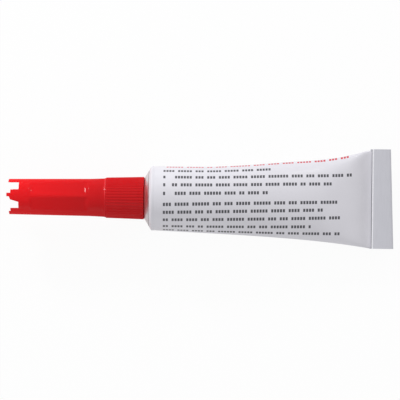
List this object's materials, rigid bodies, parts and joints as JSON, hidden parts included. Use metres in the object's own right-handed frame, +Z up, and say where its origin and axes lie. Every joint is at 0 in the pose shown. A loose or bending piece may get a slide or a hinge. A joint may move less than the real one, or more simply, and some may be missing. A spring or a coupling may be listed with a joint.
{
  "type": "super glue tube",
  "caption": "Collapsible aluminium glue tube with a folded tail, a ribbed screw-on nozzle and a long crowned cap over its spout.",
  "frame": {"origin": "on the ground under the middle of the tube as it lies on its belly", "axes": "+X towards the folded tail, +Y across the fold, +Z up; the tube's axis lies in the XZ plane with the cap end raised by 3.47 degrees"},
  "size_m": [0.0822, 0.0212, 0.0135],
  "materials": {
    "enamelled_aluminium": "satin",
    "bare_aluminium": "satin",
    "sealing_compound": "matte",
    "adhesive": "gloss",
    "nozzle_plastic": "satin",
    "cap_plastic": "satin"
  },
  "bodies": {
    "tube": {"tube": "enamelled_aluminium", "neck_membrane": "bare_aluminium", "tail_seal": "sealing_compound", "glue_charge": "adhesive"},
    "nozzle": {"nozzle": "nozzle_plastic"},
    "cap": {"cap": "cap_plastic"}
  },
  "joints": [
    {"name": "nozzle_off", "type": "slide", "parent": "tube", "child": "nozzle", "axis": [-0.9982, 0, 0.0605], "range_m": [0, 0.01]},
    {"name": "cap_off", "type": "slide", "parent": "nozzle", "child": "cap", "axis": [-0.9982, 0, 0.0605], "range_m": [0, 0.025]}
  ]
}
